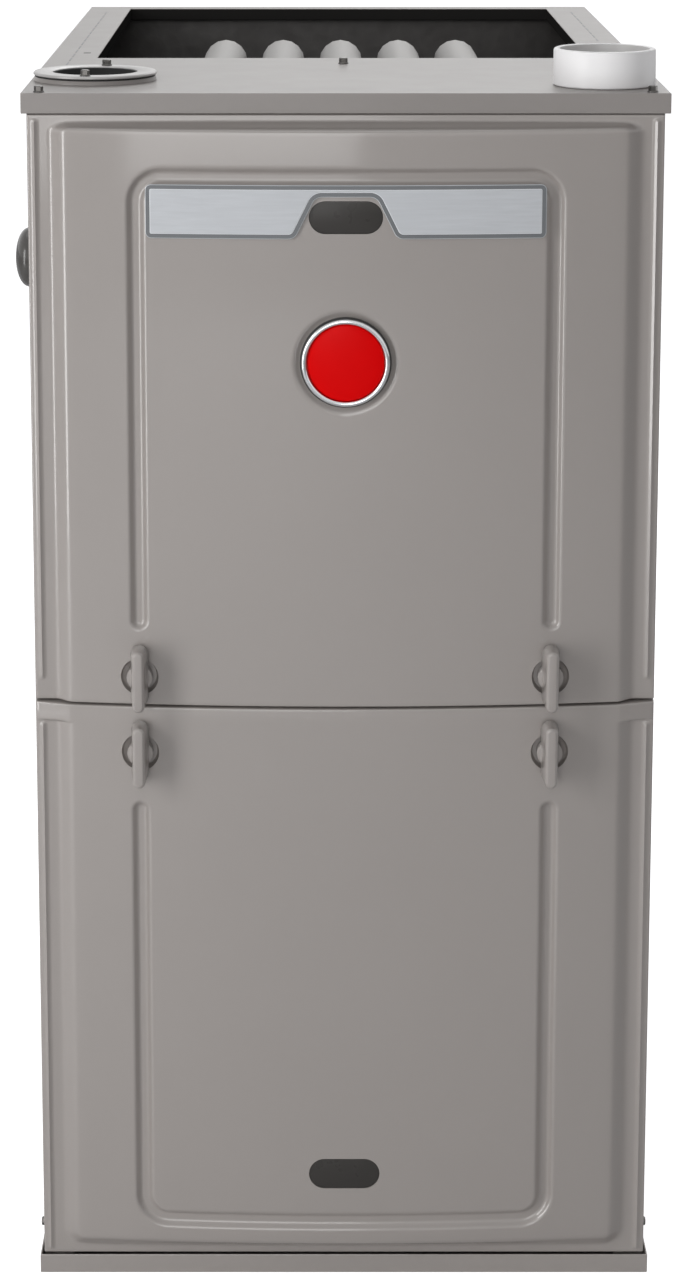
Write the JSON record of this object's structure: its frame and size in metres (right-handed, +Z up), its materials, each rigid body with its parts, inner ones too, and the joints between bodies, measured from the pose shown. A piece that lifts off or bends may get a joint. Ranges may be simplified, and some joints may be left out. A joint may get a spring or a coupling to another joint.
{
  "type": "forced air gas furnace",
  "caption": "Upright gas furnace cabinet with two bowed doors, turn latches, supply opening, vent coupling, air intake, burners, tube heat exchanger, inducer and blower.",
  "frame": {"origin": "middle of the cabinet's base, on the floor, halfway between the front plane and the back", "axes": "+Z up, +X to the right seen from the front, -Y out of the doors"},
  "size_m": [0.4528, 0.7588, 0.8896],
  "materials": {
    "paint": "satin warm grey enamel on pressed steel",
    "deck_paint": "pale satin grey enamel",
    "galvanised": "galvanised sheet with a faint spangle",
    "aluminised": "aluminised tube steel, dull silver",
    "silver_label": "silver lacquered plate",
    "chrome": "bright chrome",
    "red_enamel": "glossy red enamel",
    "smoked_lens": "dark smoked lens",
    "black_plastic": "black moulded plastic",
    "rubber": "dull black rubber",
    "liner": "foil-faced glass fibre",
    "white_pvc": "white moulded PVC",
    "black_pipe": "black steel pipe",
    "cast_aluminium": "die-cast aluminium",
    "motor_paint": "dark grey motor enamel",
    "circuit_board": "green solder resist",
    "steel": "bright steel",
    "ceramic": "white ceramic",
    "switch_grey": "grey moulded plastic"
  },
  "bodies": {
    "cabinet": {"left_side_panel": "paint", "right_side_panel": "paint", "back_panel": "paint", "top_deck": "deck_paint", "base_pan": "paint", "bottom_closure_panel": "galvanised", "centre_rail": "galvanised", "blower_deck": "galvanised", "vestibule_panel": "galvanised", "side_plug": "rubber", "exchanger_tube_1": "aluminised", "exchanger_tube_2": "aluminised", "exchanger_tube_3": "aluminised", "exchanger_tube_4": "aluminised", "exchanger_tube_5": "aluminised", "collector_box": "galvanised", "condensing_coil": "aluminised", "burner_box": "galvanised", "burner_rack": "aluminised", "gas_manifold": "black_pipe", "gas_valve": "cast_aluminium", "igniter": "ceramic", "flame_sensor": "ceramic", "rollout_switch": "black_plastic", "header_box": "black_plastic", "inducer_housing": "black_plastic", "inducer_motor": "motor_paint", "vent_pipe": "white_pvc", "vent_coupling": "white_pvc", "intake_gasket": "rubber", "intake_flange": "deck_paint", "pressure_switch": "switch_grey", "pressure_hose": "rubber", "drain_trap": "black_plastic", "blower_housing": "galvanised", "blower_motor": "motor_paint", "motor_bracket": "steel", "control_bracket": "galvanised", "control_board": "circuit_board", "transformer": "steel", "door_switch": "black_plastic"},
    "upper_door": {"upper_door": "paint", "upper_door_liner": "liner", "upper_window": "smoked_lens", "label_plate": "silver_label", "badge_bezel": "chrome", "badge_disc": "red_enamel"},
    "lower_door": {"lower_door": "paint", "lower_door_liner": "liner", "lower_window": "smoked_lens"},
    "upper_left_latch": {"upper_left_latch": "paint"},
    "upper_right_latch": {"upper_right_latch": "paint"},
    "lower_left_latch": {"lower_left_latch": "paint"},
    "lower_right_latch": {"lower_right_latch": "paint"},
    "blower_wheel": {"blower_wheel": "galvanised"},
    "inducer_wheel": {"inducer_wheel": "galvanised"},
    "gas_valve_knob": {"gas_valve_knob": "black_plastic"},
    "rollout_reset_button": {"rollout_reset_button": "red_enamel"},
    "door_switch_plunger": {"door_switch_plunger": "white_pvc"}
  },
  "joints": [
    {"name": "upper_door_pull", "type": "slide", "parent": "cabinet", "child": "upper_door", "axis": [0, -1, 0], "range_m": [0, 0.2]},
    {"name": "lower_door_pull", "type": "slide", "parent": "cabinet", "child": "lower_door", "axis": [0, -1, 0], "range_m": [0, 0.2]},
    {"name": "upper_left_latch_turn", "type": "hinge", "parent": "upper_door", "child": "upper_left_latch", "pos_m": [-0.144, -0.36, 0.4545], "axis": [0, -1, 0], "range_deg": [0, 90]},
    {"name": "upper_right_latch_turn", "type": "hinge", "parent": "upper_door", "child": "upper_right_latch", "pos_m": [0.144, -0.36, 0.4545], "axis": [0, 1, 0], "range_deg": [0, 90]},
    {"name": "lower_left_latch_turn", "type": "hinge", "parent": "lower_door", "child": "lower_left_latch", "pos_m": [-0.144, -0.36, 0.3995], "axis": [0, -1, 0], "range_deg": [0, 90]},
    {"name": "lower_right_latch_turn", "type": "hinge", "parent": "lower_door", "child": "lower_right_latch", "pos_m": [0.144, -0.36, 0.3995], "axis": [0, 1, 0], "range_deg": [0, 90]},
    {"name": "blower_wheel_spin", "type": "hinge", "parent": "cabinet", "child": "blower_wheel", "pos_m": [0, 0.038, 0.206], "axis": [1, 0, 0], "continuous": true},
    {"name": "inducer_wheel_spin", "type": "hinge", "parent": "cabinet", "child": "inducer_wheel", "pos_m": [0.02, -0.172, 0.5441], "axis": [0, 1, 0], "continuous": true},
    {"name": "gas_valve_knob_turn", "type": "hinge", "parent": "cabinet", "child": "gas_valve_knob", "pos_m": [-0.166, -0.312, 0.7381], "axis": [0, 1, 0], "range_deg": [0, 90]},
    {"name": "rollout_reset_push", "type": "slide", "parent": "cabinet", "child": "rollout_reset_button", "axis": [0, 1, 0], "range_m": [0, 0.0026], "stiffness_N_per_m": 400},
    {"name": "door_switch_push", "type": "slide", "parent": "cabinet", "child": "door_switch_plunger", "axis": [0, 1, 0], "range_m": [0, 0.004], "stiffness_N_per_m": 300}
  ]
}
